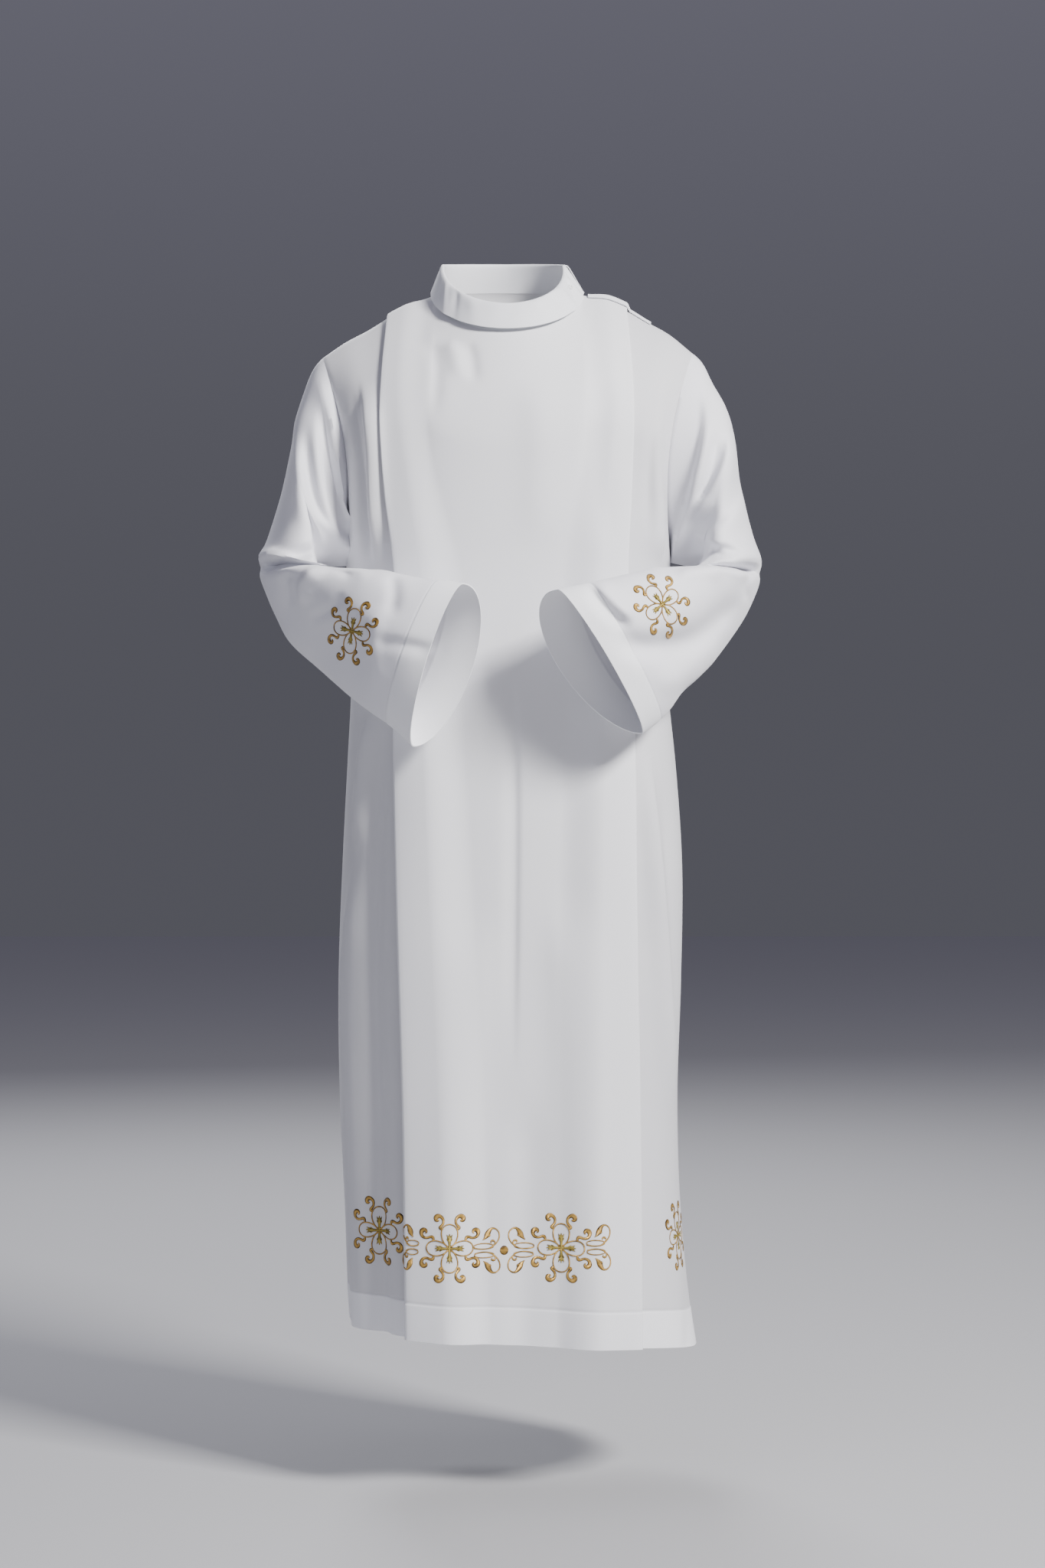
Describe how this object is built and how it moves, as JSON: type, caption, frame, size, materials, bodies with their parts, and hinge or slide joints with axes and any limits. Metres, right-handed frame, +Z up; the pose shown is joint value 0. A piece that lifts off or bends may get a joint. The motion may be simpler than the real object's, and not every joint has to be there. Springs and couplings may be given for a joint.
{
  "type": "alb robe",
  "caption": "Long bell-sleeved church robe in its worn, hollow form, with a turned-down stand collar, pleated front and back, and arms bent forward.",
  "frame": {"origin": "middle of the neck opening, level with the inner ends of the shoulder seams, where the wearer's shoulders and neck hold the robe", "axes": "+Z up, -Y to the front of the robe, +X to the wearer's left"},
  "size_m": [0.6579, 0.4614, 1.4186],
  "materials": {
    "body_cloth": "matte white polyester weave",
    "sleeve_cloth": "matte white polyester weave",
    "collar_cloth": "matte white polyester weave, faced",
    "snap": "white moulded plastic"
  },
  "bodies": {
    "root": {"front": "body_cloth", "back": "body_cloth", "sleeve_right": "sleeve_cloth", "sleeve_left": "sleeve_cloth", "collar": "collar_cloth", "shoulder_placket": "collar_cloth", "collar_snap": "snap"}
  },
  "joints": []
}
